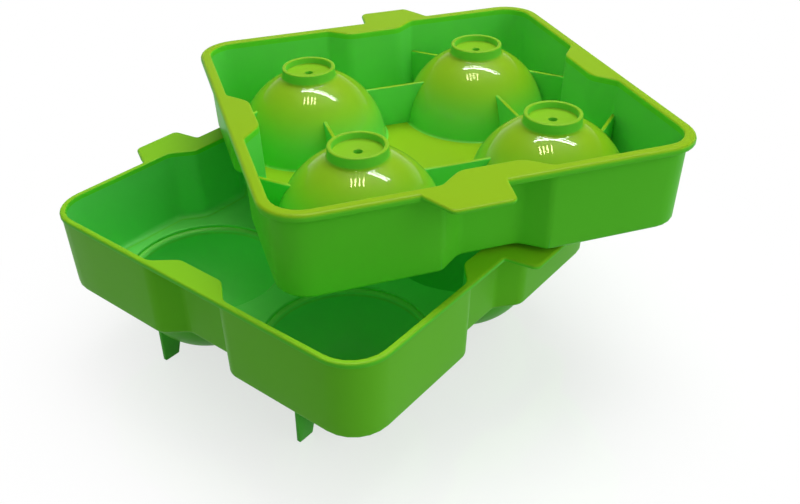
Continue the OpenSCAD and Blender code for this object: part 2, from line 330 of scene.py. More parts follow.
def on_rays(loop, angles, centre=(0.0, 0.0)):
    """A loop where rays from a centre at these angles cross its sides: on the side from A to B the
    crossing is A plus the share of B minus A at which the cross product with the ray is nothing."""
    points, normals, reach = loop
    at = points - np.asarray(centre)
    a = np.unwrap(np.arctan2(at[:, 1], at[:, 0]))
    a = np.append(a, a[0] + 2 * np.pi)
    turned = a[0] + np.mod(np.asarray(angles) - a[0], 2 * np.pi)
    i = np.clip(np.searchsorted(a, turned, side="right") - 1, 0, len(at) - 1)
    j = (i + 1) % len(at)
    d = np.stack([np.cos(turned), np.sin(turned)], axis=1)
    first = at[i, 0] * d[:, 1] - at[i, 1] * d[:, 0]
    last = at[j, 0] * d[:, 1] - at[j, 1] * d[:, 0]
    t = np.clip(first / (first - last), 0, 1)[:, None]
    return (
        points[i] * (1 - t) + points[j] * t,
        unit(normals[i] * (1 - t) + normals[j] * t),
        np.minimum(reach[i], reach[j]),
    )


def ray_angles(loop, centre=(0.0, 0.0)):
    """Angles of a loop's points as seen from a centre, from nothing to a full turn."""
    at = loop[0] - np.asarray(centre)
    return np.mod(np.arctan2(at[:, 1], at[:, 0]), 2 * np.pi)


def notched_outline(wall, steps=6, fill=3):
    """Outline of a tray: a square with a notch in the middle of each side, the same four times round.
    It starts at the front side's left corner."""
    mouth = wall.notch_flat + wall.notch_run
    foot = wall.notch_depth - wall.half
    side = np.array(
        [
            (-wall.half, -wall.half),
            (-mouth, -wall.half),
            (-wall.notch_flat, foot),
            (wall.notch_flat, foot),
            (mouth, -wall.half),
        ]
    )
    radii = [wall.corner, wall.notch_out, wall.notch_in, wall.notch_in, wall.notch_out]
    return rounded(np.concatenate([quarter_turns(side, k) for k in range(4)]), radii * 4, steps, fill)


def tabbed_outline(wall, tab, half, tab_sides, flip, ahead=0.0):
    """Outline of a rim: a square with rounded corners and a tab on some of its sides. Sides count from
    the front, against the clock. A tab starts near the middle of its side, flip says on which hand, and
    ahead moves it across the middle."""
    hand = -1 if flip else 1
    shape = np.array(
        [
            (hand * -tab.end, -half),
            (hand * (tab.in_end - tab.end), -half - tab.reach),
            (hand * (-tab.start - tab.in_start), -half - tab.reach),
            (hand * -tab.start, -half),
        ]
    )
    shape = shape[::hand] + (ahead, 0)
    tab_radii = [tab.root_round, tab.tip_round, tab.tip_round, tab.root_round]
    corners, radii = [], []
    for k in range(4):
        corners.append(quarter_turns(np.array([(-half, -half)]), k))
        radii.append(wall.corner + half - wall.half)
        if k in tab_sides:
            corners.append(quarter_turns(shape, k))
            radii += tab_radii
    return rounded(np.concatenate(corners), radii, 8, 2)


# Surfaces: arrays of points with quads and triangles


def quads_between(rows, columns, wrap):
    """Quads of a grid whose columns close into a ring. With wrap, the last row joins the first."""
    j = np.arange(rows if wrap else rows - 1)[:, None]
    i = np.arange(columns)[None]
    after = (j + 1) % rows
    beside = (i + 1) % columns
    return np.stack(
        [j * columns + i, j * columns + beside, after * columns + beside, after * columns + i], axis=2
    ).reshape(-1, 4)


def skin(rings, ends=None):
    """Surface through rings of points. Without ends the last ring joins the first. With ends, the first
    and the last ring are each closed by triangles to one point."""
    rows, columns = rings.shape[:2]
    points = rings.reshape(-1, 3)
    quads = quads_between(rows, columns, ends is None)
    triangles = np.zeros((0, 3), dtype=int)
    if ends is not None:
        i = np.arange(columns)
        beside = (i + 1) % columns
        last = (rows - 1) * columns
        first_fan = np.stack([beside, i, np.full(columns, len(points))], axis=1)
        last_fan = np.stack([last + i, last + beside, np.full(columns, len(points) + 1)], axis=1)
        triangles = np.concatenate([first_fan, last_fan])
        points = np.concatenate([points, np.asarray(ends, dtype=float)])
    return facing_out((points, quads, triangles))


def facing_out(surface):
    """The surface with its faces turned round if the volume that they enclose comes out negative."""
    points, quads, triangles = surface
    tri = np.concatenate([quads[:, [0, 1, 2]], quads[:, [0, 2, 3]], triangles])
    a, b, c = points[tri[:, 0]], points[tri[:, 1]], points[tri[:, 2]]
    if np.sum(a * np.cross(b, c)) < 0:
        quads, triangles = quads[:, ::-1], triangles[:, ::-1]
    return points, quads, triangles


def together(surfaces):
    """Several surfaces as one, with the numbers of their points moved on."""
    starts = np.cumsum([0] + [len(s[0]) for s in surfaces[:-1]])
    return (
        np.concatenate([s[0] for s in surfaces]),
        np.concatenate([s[1] + n for s, n in zip(surfaces, starts)]),
        np.concatenate([s[2] + n for s, n in zip(surfaces, starts)]),
    )


def moved(surface, matrix):
    """The surface with its points turned and moved by a 4 by 4 matrix."""
    points, quads, triangles = surface
    return points @ matrix[:3, :3].T + matrix[:3, 3], quads, triangles


def revolved(profile, steps=96):
    """Surface of a profile of radius and height turned about the upright axis. A profile that starts and
    ends on the axis is closed there by its end points, and any other one closes on itself."""
    poles = profile[0, 0] < TINY and profile[-1, 0] < TINY
    body = profile[1:-1] if poles else profile
    a = 2 * np.pi * np.arange(steps) / steps
    r, z = body[:, :1], np.broadcast_to(body[:, 1:], (len(body), steps))
    rings = np.stack([r * np.cos(a), r * np.sin(a), z], axis=2)
    ends = [(0, 0, profile[0, 1]), (0, 0, profile[-1, 1])] if poles else None
    return skin(rings, ends)


def shifted(x, y, z):
    """Matrix that moves by x, y and z."""
    m = np.eye(4)
    m[:3, 3] = (x, y, z)
    return m


# Forms of the trays


def wall_fall(wall, rise):
    """How far a wall leans in over a rise."""
    return rise * math.tan(wall.draft)


def seam_inset(wall, inset, rise):
    """Inset at which the wall piece, with its fillet, ends on the floor."""
    return inset + wall.thick + wall_fall(wall, rise) + wall.floor_fillet + SEAM_FLAT


def wall_surface(wall, inset, under, floor, top):
    """Wall with the rounded base and the inner fillet: a closed profile of inset and height carried
    round the notched outline. Its outer face leans in from the top to the underside, where it rounds
    over, and its inner face runs into the floor through the fillet."""
    rise = top - floor
    corners = [
        (inset, top),
        (inset + wall.thick, top),
        (inset + wall.thick + wall_fall(wall, rise), floor),
        (seam_inset(wall, inset, rise), floor),
        (seam_inset(wall, inset, rise), under),
        (inset + wall_fall(wall, top - under), under),
    ]
    radii = [0, 0, wall.floor_fillet, 0, 0, wall.base_round]
    profile = without_doubles(rounded(corners[::-1], radii[::-1], 8, 4)[0])
    return skin(set_in(notched_outline(wall), profile[:, 0], profile[:, 1]))


def floor_quarter(wall, inset, quarter, centre, near_hole, z_top, z_under):
    """One quarter of a floor round its hole. near_hole holds the radii and heights of the rings next to
    the hole, from the top to the underside. Every ring runs on the same rays from the hole's centre out
    to the quarter's edge, which is the outline's quarter and the two middle lines."""
    loop = notched_outline(wall)
    ring = set_in(loop, [inset], [0])[0, :, :2]
    side = len(ring) // 4
    middle = int(np.argmin(np.abs(ring[:side, 0])))
    edge = ring[(middle + quarter * side + np.arange(side + 1)) % len(ring)]
    t = np.linspace(0, 1, 9)[1:-1, None]
    edge = np.concatenate([edge, edge[-1] * (1 - t), [[0, 0]], edge[0] * t])
    edge_loop = (edge, np.ones_like(edge), np.ones(len(edge)))
    even = np.radians(np.arange(0, 360, 3))
    angles = np.unique(np.round(np.concatenate([even, ray_angles(edge_loop, centre)]), 5))
    outer = on_rays(edge_loop, angles, centre)[0]
    d = np.stack([np.cos(angles), np.sin(angles)], axis=1)
    rings = [np.concatenate([outer, np.full((len(outer), 1), z_top)], axis=1)]
    for r, z in near_hole:
        rings.append(np.concatenate([np.asarray(centre) + r * d, np.full((len(d), 1), z)], axis=1))
    rings.append(np.concatenate([outer, np.full((len(outer), 1), z_under)], axis=1))
    return skin(np.array(rings))


def floor_surface(ball, wall, inset, near_hole, z_top, z_under):
    """Floor in four quarters round the four ball centres."""
    quarters = []
    for k, (x, y) in enumerate(FLOOR_QUARTERS):
        centre = (x * ball.pitch / 2, y * ball.pitch / 2)
        quarters.append(floor_quarter(wall, inset, k, centre, near_hole, z_top, z_under))
    return together(quarters)


def rim_surface(wall, tab, half, inset, under, top, tab_sides, flip, ahead=0.0):
    """Rim or lip with its tabs: rings round the outer outline with a rounded nose, then rings round the
    notched inner outline with a rounded edge, all on the same rays from the tray's middle. On the rays
    through a tab the outer rings go round the thinner tab and back to the rim's side, a step below it.
    A narrow flat lies beside each rounded edge, and the roundings are limited by the rim's section."""
    outer = tabbed_outline(wall, tab, half, tab_sides, flip, ahead)
    plain = tabbed_outline(wall, tab, half, (), flip)
    inner = notched_outline(wall)
    inner = (inner[0] - np.minimum(inset, inner[2])[:, None] * inner[1], inner[1], inner[2])
    angles = np.unique(np.round(np.concatenate([ray_angles(loop) for loop in (outer, plain, inner)]), 5))
    outer, plain, inner = on_rays(outer, angles), on_rays(plain, angles), on_rays(inner, angles)
    edge = wall.edge_round
    flat = 0.2 * MM
    inner_flat = 0.15 * MM
    step = 0.01 * MM
    on_tab = np.clip(np.linalg.norm(outer[0] - plain[0], axis=1) / MM, 0, 1)[None, :, None]

    def nose_profile(radius):
        nose = arc((radius, top - radius), radius, 90, 180, 7)
        return np.concatenate([[(radius + flat, top)], nose])

    width = half - wall.half + inset
    nose = min(wall.nose_round, top - under - 1.2 * edge, 0.35 * width)
    side = np.linspace(top - nose, under + edge, 8)[1:-1]
    rim = np.concatenate([nose_profile(nose), np.stack([np.zeros(6), side], axis=1)])
    tab_top = nose_profile(min(wall.nose_round, tab.thick - 1.2 * edge))
    tab_low = np.concatenate([tab_top, arc((edge, top - tab.thick + edge), edge, 180, 270, 4)])
    rim_rings = set_in(plain, rim[:, 0], rim[:, 1])
    below = set_in(plain, [0], [top - tab.thick - step])
    tab_rings = np.concatenate([set_in(outer, tab_low[:, 0], tab_low[:, 1]), below])
    base = np.concatenate([arc((edge, under + edge), edge, 180, 270, 4), [(edge + flat, under)]])
    soft = min(2 * edge, 0.2 * width)
    over = arc((-soft, top - soft), soft, 0, 90, 5)
    inside = np.concatenate([[(0, under)], over, [(-soft - inner_flat, top)]])
    rings = [
        tab_rings * on_tab + rim_rings * (1 - on_tab),
        set_in(plain, base[:, 0], base[:, 1]),
        set_in(inner, inside[:, 0], inside[:, 1]),
    ]
    return skin(np.concatenate(rings))


def cup_surface(ball, low):
    """Cup: the ball's lower half inside, the shell's outside, and a flange whose top is the ledge. The
    mouth's edge is an arc that touches both the ball and the ledge."""
    e = low.mouth_round
    shell = ball.radius + ball.shell
    mouth = math.sqrt((ball.radius + e) ** 2 - e**2)
    lean = math.degrees(math.asin(e / (ball.radius + e)))
    root = math.degrees(math.acos(low.flange_thick / shell))
    g = FINE_EDGE
    profile = np.concatenate(
        [
            arc((0, 0), ball.radius, -90, -lean, 40),
            arc((mouth, -e), e, 180 - lean, 90, 5),
            [(mouth + g, 0)],
            arc((low.flange - g, -g), g, 90, 0, 3),
            arc((low.flange - g, g - low.flange_thick), g, 0, -90, 3),
            arc((0, 0), shell, root - 90, -90, 40),
        ]
    )
    profile[[0, -1], 0] = 0
    return revolved(profile)


def foot_surface(ball, low):
    """Foot blade below a cup, along +X from the cup's centre at the parting height: an outline in the
    blade's plane, with its top on an arc inside the cup's shell, given thickness with rounded edges. The
    inner edge leans, and ends where its distance from the cup's centre comes to the arc's radius."""
    tip_round, root_round = 0.5 * MM, 0.4 * MM
    shell = ball.radius + ball.shell - FOOT_IN_CUP
    span = math.sqrt(shell**2 - low.foot_side**2)
    tip_in = low.foot_out - low.foot_tip
    lean = math.tan(low.foot_lean)
    z_out = low.part_z - math.sqrt(span**2 - low.foot_out**2)
    b = tip_in - low.part_z * lean
    along = (math.sqrt(span**2 * (1 + lean**2) - b**2) - lean * b) / (1 + lean**2)
    root = np.array([b + along * lean, low.part_z - along])
    a_out = math.degrees(math.atan2(z_out - low.part_z, low.foot_out))
    a_in = math.degrees(math.atan2(root[1] - low.part_z, root[0]))
    top = arc((0, low.part_z), span, a_out, a_in, 5)
    corners = np.concatenate([[(tip_in, 0), (low.foot_out, 0)], top])
    points, normals, reach = rounded(corners, [tip_round] * 2 + [root_round] * len(top), 3, 2)
    half, r = low.foot_thick / 2, FINE_EDGE
    edge = np.concatenate([arc((r, half - r), r, 90, 180, 3), arc((r, r - half), r, 180, 270, 3)])
    rings = set_in((points, normals, reach), edge[:, 0], edge[:, 1])
    middle = points.mean(axis=0)
    flat = skin(rings, [(*middle, half), (*middle, -half)])
    upright = np.array([[1, 0, 0, 0], [0, 0, 1, 0], [0, 1, 0, 0], [0, 0, 0, 1]], dtype=float)
    return facing_out(moved(flat, upright))


def dome_surface(ball, up):
    """Dome with its collar: a closed profile that rises from the floor through a fillet, follows the
    shell to the collar, goes over the collar's rounded top into the dish and the hole, and comes back
    along the ball. A fillet's centre lies its radius off the shell and off the floor or the collar. The
    heights on the outside are stretched a little, up to the collar."""
    shell = ball.radius + ball.shell
    deck = up.ring_z + up.floor
    f, g, e, h = up.dome_fillet, up.collar_fillet, SOFT_EDGE, HOLE_EDGE
    foot = math.sqrt((shell + f) ** 2 - (deck + f) ** 2)
    foot_lean = math.degrees(math.atan2(deck + f, foot))
    neck = math.sqrt((shell + g) ** 2 - (up.collar + g) ** 2)
    neck_lean = math.degrees(math.atan2(neck, up.collar + g))
    swell = up.swell * neck / (shell + g)
    top = shell + up.collar_rise
    dish = top - up.dish
    bore = up.collar - up.collar_wall
    hole_lean = math.degrees(math.acos(up.hole / ball.radius))
    base_lean = math.degrees(math.asin(deck / ball.radius))
    profile = np.concatenate(
        [
            arc((foot, deck + f), f, 270, 180 + foot_lean, 6),
            arc((0, 0), shell, foot_lean + 1, neck_lean - 1, 36) * (1, 1 + up.swell / shell),
            arc((up.collar + g, neck + swell), g, 180 + neck_lean, 180, 5),
            arc((up.collar - e, top - e), e, 0, 90, 5),
            arc((bore + e, top - e), e, 90, 180, 5),
            arc((bore - e, dish + e), e, 0, -90, 5),
            arc((up.hole + h, dish - h), h, 90, 180, 3),
            arc((0, 0), ball.radius, hole_lean, base_lean, 40),
        ]
    )
    return revolved(profile)


def rib_surface(up, start, end):
    """Rib along +X: a profile across it, with a rounded top, carried from one end to the other. start and
    end are functions of the profile's width and height, so that the rib's ends follow what they meet."""
    deck = up.ring_z + up.floor - RIB_IN_FLOOR
    half, e = up.rib / 2, SOFT_EDGE
    across = np.concatenate(
        [
            [(half, deck), (half, deck + 1 * MM)],
            arc((half - e, up.rib_rise - e), e, 0, 90, 5),
            arc((e - half, up.rib_rise - e), e, 90, 180, 5),
            [(-half, deck + 1 * MM), (-half, deck)],
        ]
    )
    w, z = across[:, 0], across[:, 1]
    t = np.linspace(0, 1, 4)[:, None]
    x = start(w, z)[None] * (1 - t) + end(w, z)[None] * t
    rings = np.stack([x, np.broadcast_to(w, x.shape), np.broadcast_to(z, x.shape)], axis=2)
    return skin(rings, [rings[0].mean(axis=0), rings[-1].mean(axis=0)])


def straight_rib(ball, up):
    """Rib between two domes. Its ends lie on spheres a little inside both shells."""
    shell = ball.radius + ball.shell - RIB_IN_DOME

    def end(w, z):
        return ball.pitch / 2 - np.sqrt(shell**2 - w**2 - z**2)

    return rib_surface(up, lambda w, z: -end(w, z), end)


def slanted_rib(ball, wall, up):
    """Rib from the corner where a notch starts, at the origin and along +X, to the dome beside it, and
    the matrix that brings it to the front side, on the right of its notch, at half a right angle. Its far
    end lies on a sphere a little inside the shell, with its centre ahead by lead and aside by off."""
    shell = ball.radius + ball.shell - RIB_IN_DOME
    inner = up.inset + wall.thick
    turn = math.atan2(wall.notch_depth, wall.notch_run)
    mouth = wall.notch_flat + wall.notch_run + inner * math.tan(turn / 2)
    corner = np.array([mouth, inner - wall.half])
    to_ball = np.array([ball.pitch / 2, -ball.pitch / 2]) - corner
    lead = (to_ball[0] + to_ball[1]) / math.sqrt(2)
    off = (to_ball[1] - to_ball[0]) / math.sqrt(2)
    place = shifted(corner[0], corner[1], 0)
    s = math.sqrt(0.5)
    place[:2, :2] = [[s, -s], [s, s]]
    rib = rib_surface(
        up,
        lambda w, z: np.full_like(w, -RIB_IN_WALL),
        lambda w, z: lead - np.sqrt(shell**2 - z**2 - (w - off) ** 2),
    )
    return rib, place


def turned(quarter, mirror=False):
    """Matrix of a number of right angles about the upright axis, after a mirror across X if asked."""
    m = np.eye(4)
    c, s = RIGHT_ANGLES[quarter % 4]
    m[:2, :2] = [[c, -s], [s, c]]
    return m @ np.diag([-1.0 if mirror else 1.0, 1, 1, 1])


def rest_matrix(scene):
    """Place of the upper tray: it lies on the lower rim with two seat rings and its floor's far edge. The
    plane through these three points gives its lean, and the turn about its own axis comes first."""
    ball, wall, low, up = scene.mould_ball, scene.mould_wall, scene.mould_lower, scene.mould_upper
    c, s = math.cos(up.turn), math.sin(up.turn)
    spin = np.array([[c, -s], [s, c]])
    at = np.array([up.rest_x, up.rest_y])
    back = at + spin @ np.array([1, 1]) * ball.pitch / 2
    right = at + spin @ np.array([1, -1]) * ball.pitch / 2
    rim = wall.half - wall.thick
    on_back = np.array([back[0] - math.sqrt(up.ring**2 - (rim - back[1]) ** 2), rim, 0])
    on_right = np.array([rim, right[1] - math.sqrt(up.ring**2 - (rim - right[0]) ** 2), 0])
    on_left = np.array([-low.rim_half, wall.notch_flat + wall.notch_run, -up.ring_z])
    lean = unit(np.cross(on_right - on_left, on_back - on_left))
    z = on_left[2] - (lean[:2] @ (at - on_left[:2])) / lean[2]
    axis = Vector((-lean[1], lean[0], 0))
    tilt = Matrix.Rotation(math.acos(lean[2]), 4, axis) @ Matrix.Rotation(up.turn, 4, "Z")
    place = Matrix.Translation((at[0], at[1], low.rim_z + z + up.rest_gap)) @ tilt
    return np.array(place)


# Materials


class Tone:
    """An output socket in a shader tree that takes part in Python expressions."""

    def __init__(self, tree, socket=None):
        self.tree = tree
        self.socket = socket

    def node(self, kind, settings=None, inputs=None, output=0):
        """Adds a node of this type, applies its settings, fills its inputs with values or links, and
        returns one of its outputs."""
        made = self.tree.nodes.new(kind)
        for key, value in (settings or {}).items():
            setattr(made, key, value)
        for key, value in (inputs or {}).items():
            if isinstance(value, Tone):
                self.tree.links.new(value.socket, made.inputs[key])
            else:
                made.inputs[key].default_value = value
        return Tone(self.tree, made.outputs[output] if made.outputs else None)

    def maths(self, operation, first, second):
        """A Math node on two values."""
        return self.node("ShaderNodeMath", {"operation": operation}, {0: first, 1: second})

    def __add__(self, other):
        return self.maths("ADD", self, other)

    def __radd__(self, other):
        return self.maths("ADD", other, self)

    def __sub__(self, other):
        return self.maths("SUBTRACT", self, other)

    def __rsub__(self, other):
        return self.maths("SUBTRACT", other, self)

    def __mul__(self, other):
        return self.maths("MULTIPLY", self, other)

    def __rmul__(self, other):
        return self.maths("MULTIPLY", other, self)

    def blend(self, first, second):
        """A colour between two colours, by this value."""
        settings = {"data_type": "RGBA"}
        return self.node("ShaderNodeMix", settings, {"Factor": self, "A": first, "B": second}, "Result")

    def between(self, low, high):
        """This value's way from low to high as a smooth step from nothing to one."""
        settings = {"interpolation_type": "SMOOTHSTEP"}
        return self.node("ShaderNodeMapRange", settings, {"Value": self, "From Min": low, "From Max": high})


def empty_tree(owner):
    """An owner's shader tree without its default nodes, as a Tone to start from."""
    owner.use_nodes = True
    owner.node_tree.nodes.clear()
    return Tone(owner.node_tree)


def rgba(colour_value):
    """A colour with full cover."""
    return (*colour_value, 1.0)


def ray_kinds(tree):
    """Whether a ray comes from the camera, from gloss or through something clear."""
    path = tree.node("ShaderNodeLightPath").socket.node
    names = ("Is Camera Ray", "Is Glossy Ray", "Is Transmission Ray")
    return [Tone(tree.tree, path.outputs[name]) for name in names]


def painted_light_green_plastic(scene):
    """Moulded plastic: lime, leaf and fern green by the piece's own shares of them, lime as painted
    light and leaf and fern as painted shade, with faint wide flow marks, under an uneven satin skin
    with a fine ripple. The piece's share of polish adds a clear gloss."""
    name = "green_plastic_gloss_painted_light"
    if name in bpy.data.materials:
        return bpy.data.materials[name]
    look = scene.mould_plastic
    material = bpy.data.materials.new(name)
    tree = empty_tree(material)
    place = tree.node("ShaderNodeTexCoord", output="Object")
    flow, gloss, grain = [
        tree.node("ShaderNodeTexNoise", None, {"Vector": place, "Scale": scale, "Detail": detail}, "Fac")
        for scale, detail in ((26.0, 3.0), (90.0, 2.0), (900.0, 2.0))
    ]
    lit_lime, deep_shade_fern, polish = [
        tree.node("ShaderNodeAttribute", {"attribute_name": key}, None, "Fac") for key in SHARES
    ]
    # Painted shade mixes leaf and fern, and painted light lays lime over it by the lime share
    green = deep_shade_fern.blend(rgba(look.shade_leaf), rgba(look.deep_shade_fern))
    base = (lit_lime + look.flow * (flow - 0.5)).blend(green, rgba(look.lit_lime))
    rough = look.satin + look.uneven * (gloss - 0.5)
    bump = tree.node(
        "ShaderNodeBump", None, {"Strength": look.ripple, "Distance": 0.2 * MM, "Height": grain}, "Normal"
    )
    shader = tree.node(
        "ShaderNodeBsdfPrincipled",
        None,
        {
            "Base Color": base,
            "Roughness": rough,
            "Normal": bump,
            "IOR": look.bend,
            "Coat Weight": polish,
            "Coat Roughness": look.polish,
            "Coat IOR": look.polish_bend,
        },
    )
    tree.node("ShaderNodeOutputMaterial", None, {"Surface": shader})
    return material


def white_floor(scene):
    """Pale floor that keeps the object's shadow and a faint mirror image of it. A lift for the camera
    brings the open floor to white, and far from the object it is plain white. It lights the object with
    a darker colour."""
    look = scene.mould_stage
    material = bpy.data.materials.new("white_floor")
    tree = empty_tree(material)
    camera, glossy, through = ray_kinds(tree)
    seen = camera + glossy + through
    place = tree.node("ShaderNodeTexCoord", output="Object")
    centre = (MIDDLE.x, MIDDLE.y, 0)
    away = tree.node("ShaderNodeVectorMath", {"operation": "DISTANCE"}, {0: place, 1: centre}, "Value")
    shade = camera.blend(rgba(look.bounce), rgba(look.floor))
    matt = tree.node("ShaderNodeBsdfDiffuse", None, {"Color": shade})
    gloss = {"Color": (1, 1, 1, 1), "Roughness": look.mirror_rough}
    mirror = tree.node("ShaderNodeBsdfGlossy", None, gloss)
    both = tree.node("ShaderNodeMixShader", None, {0: look.mirror, 1: matt, 2: mirror})
    lift = tree.node("ShaderNodeEmission", None, {"Strength": look.lift * seen})
    lit = tree.node("ShaderNodeAddShader", None, {0: both, 1: lift})
    white = tree.node("ShaderNodeEmission", None, {"Strength": 1.0})
    far = away.between(look.near, look.far) * seen
    shader = tree.node("ShaderNodeMixShader", None, {0: far, 1: lit, 2: white})
    tree.node("ShaderNodeOutputMaterial", None, {"Surface": shader})
    return material


# Pieces in the scene


def smooth(value, low, high):
    """Smooth step from nothing at low to one at high."""
    t = np.clip((value - low) / (high - low), 0, 1)
    return t * t * (3 - 2 * t)


def painted_light_shares(scene, points, normals, body, kind):
    """Shares of lime, fern and polish at each point. Lime is painted light: it grows with how level the
    face lies and how near the rim it is. Fern is painted shade: it is on the inner faces of walls and
    on ribs, and on other pieces it grows with the depth, except on faces that look down. The domes
    and the insides of the cups are polished, without the domes' collars and feet and the cups'
    ledges."""
    look, collar_radius = scene.mould_plastic, scene.mould_upper.collar
    upper = body == "upper_tray"
    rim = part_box("upper_lip" if upper else "lower_rim")[1][2]
    z, facing_up = points[:, 2], normals[:, 2]
    # Painted light kept on level faces deep inside: much in the upper tray, little in the lower tray
    deep = look.deep_dome if kind == "dome" else look.deep_upper if upper else look.deep_lower
    high = smooth(z, rim - look.deep, rim - look.shallow)
    start = {"dome": -0.1, "floor": -0.3}.get(kind, 0.1)
    level = smooth(facing_up, start, start + 0.8)
    # Painted light on level faces near the rim, and painted shade deeper down
    lit_lime = level * (deep + (1 - deep) * high)
    deep_shade_fern = (1 - high) * smooth(facing_up, -0.4, 0.1)
    polish = smooth(facing_up, -0.2, 0.1) * (kind in ("cup", "dome"))
    # Walls: painted shade on the inner face, and some painted light outside on the lower wall
    if kind == "wall":
        centre = (scene.mould_upper.rest_x, scene.mould_upper.rest_y) if upper else (0, 0)
        outward = np.sum(normals[:, :2] * unit(points[:, :2] - centre), axis=1)
        outer_lime = 0 if upper else look.outer_lime
        lit_lime = level * deep * (1 - high) + outer_lime * smooth(outward, -0.3, 0.3)
        deep_shade_fern = smooth(outward, 0.3, -0.3)
    # Cups: painted light on the ledge, and gloss only below it
    elif kind == "cup":
        ledge_start = rim - 28 * MM
        ledge_end = rim - 25.5 * MM
        ledge = smooth(z, ledge_start, ledge_end)
        lit_lime = level * (deep + (look.ledge_lime - deep) * ledge)
        polish = polish * (1 - ledge)
    # Domes: the collars get their own amounts of painted light and painted shade
    elif kind == "dome":
        reach = np.linalg.norm(points[:, :2] - points[:, :2].mean(axis=0), axis=1)
        collar = 1 - smooth(reach, collar_radius, 1.12 * collar_radius)
        kept = 1 - (1 - look.dish_lime) * collar
        lit_lime = np.maximum(kept * lit_lime, look.collar_lime * collar)
        deep_shade_fern = np.maximum(deep_shade_fern, look.collar_fern * collar)
        off_floor = smooth(z - z.min(), 1 * MM, 3 * MM)
        polish = polish * (1 - collar) * off_floor
    # Lower rim: less painted light than level faces elsewhere
    elif kind == "rim":
        lit_lime = look.rim_lime * lit_lime
    # Ribs and feet: painted shade
    elif kind in ("ribs", "foot"):
        deep_shade_fern = np.full(len(points), 1.0 if kind == "ribs" else look.foot_fern)
    # The upper tray keeps only part of its painted shade
    return lit_lime, (look.upper_fern if upper else 1.0) * deep_shade_fern, polish


def add_piece(scene, name, surface, body, nodes):
    """Puts a surface into a mesh object that rides on a body and stands for its CAD nodes."""
    points, quads, triangles = surface
    mesh = bpy.data.meshes.new(name)
    mesh.vertices.add(len(points))
    mesh.vertices.foreach_set("co", points.astype(np.float32).ravel())
    corners = np.concatenate([quads.ravel(), triangles.ravel()])
    mesh.loops.add(len(corners))
    mesh.loops.foreach_set("vertex_index", corners.astype(np.int32))
    sizes = np.concatenate([np.full(len(quads), 4), np.full(len(triangles), 3)])
    mesh.polygons.add(len(sizes))
    mesh.polygons.foreach_set("loop_start", (np.cumsum(sizes) - sizes).astype(np.int32))
    mesh.update(calc_edges=True)
    if mesh.validate():
        raise RuntimeError(name + " has faulty faces")
    mesh.shade_smooth()
    mesh.set_sharp_from_angle(angle=SHARP_ANGLE)
    normals = np.empty(points.size, dtype=np.float32)
    mesh.vertex_normals.foreach_get("vector", normals)
    # Shares of painted light, painted shade and polish, stored on the points for the material
    kind = next((word for word in KINDS if word in name), "")
    shares = painted_light_shares(scene, points, normals.reshape(-1, 3), body, kind)
    for key, values in zip(SHARES, shares):
        mesh.attributes.new(key, "FLOAT", "POINT").data.foreach_set("value", values.astype(np.float32))
    mesh.materials.append(painted_light_green_plastic(scene))
    piece = bpy.data.objects.new(name, mesh)
    scene.collection.objects.link(piece)
    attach(piece, body)
    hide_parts(*nodes)


class MOULD_OT_lower_wall(bpy.types.Operator):
    """Builds the lower tray's wall with its rounded base"""

    bl_idname = "mould.lower_wall"
    bl_label = "Lower wall"

    def execute(self, context):
        scene = context.scene
        low = scene.mould_lower
        surface = wall_surface(scene.mould_wall, 0, low.part_z, low.part_z + low.floor, low.rim_z - low.rim)
        add_piece(scene, "lower_tray_wall", surface, "lower_tray", ["lower_wall"])
        return {"FINISHED"}


class MOULD_OT_lower_floor(bpy.types.Operator):
    """Builds the lower tray's floor with its four seat holes"""

    bl_idname = "mould.lower_floor"
    bl_label = "Lower floor"

    def execute(self, context):
        scene = context.scene
        wall, low, ball = scene.mould_wall, scene.mould_lower, scene.mould_ball
        top = low.part_z + low.floor
        inset = seam_inset(wall, 0, low.rim_z - low.rim - top)
        e = wall.edge_round
        hole = np.concatenate([arc((low.seat + e, top - e), e, 90, 180, 4), [(low.seat, low.part_z)]])
        surface = floor_surface(ball, wall, inset, hole, top, low.part_z)
        add_piece(scene, "lower_tray_floor", surface, "lower_tray", ["lower_floor"])
        return {"FINISHED"}


class MOULD_OT_lower_rim(bpy.types.Operator):
    """Builds the lower tray's rim with its two finger tabs"""

    bl_idname = "mould.lower_rim"
    bl_label = "Lower rim"

    def execute(self, context):
        scene = context.scene
        wall, low, tab = scene.mould_wall, scene.mould_lower, scene.mould_tab
        under = low.rim_z - low.rim
        surface = rim_surface(wall, tab, low.rim_half, wall.thick, under, low.rim_z, (1, 3), True)
        nodes = ["lower_rim", "lower_tab_left", "lower_tab_right"]
        add_piece(scene, "lower_tray_rim", surface, "lower_tray", nodes)
        return {"FINISHED"}


class MOULD_OT_cups(bpy.types.Operator):
    """Builds the four cups of the lower tray"""

    bl_idname = "mould.cups"
    bl_label = "Cups"

    def execute(self, context):
        scene = context.scene
        ball, low = scene.mould_ball, scene.mould_lower
        cup = cup_surface(ball, low)
        for name, (x, y) in LOWER_PLACES.items():
            place = shifted(x * ball.pitch / 2, y * ball.pitch / 2, low.part_z)
            add_piece(scene, "lower_tray_cup_" + name, moved(cup, place), "lower_tray", ["cup_" + name])
        return {"FINISHED"}


class MOULD_OT_feet(bpy.types.Operator):
    """Builds the four blade feet below the cups, two towards the front and two towards the back"""

    bl_idname = "mould.feet"
    bl_label = "Feet"

    def execute(self, context):
        scene = context.scene
        ball, low = scene.mould_ball, scene.mould_lower
        foot = foot_surface(ball, low)
        for name, (x, y) in LOWER_PLACES.items():
            place = shifted(x * ball.pitch / 2 + y * low.foot_side, y * ball.pitch / 2, 0) @ turned(y)
            add_piece(scene, "lower_tray_foot_" + name, moved(foot, place), "lower_tray", ["foot_" + name])
        return {"FINISHED"}


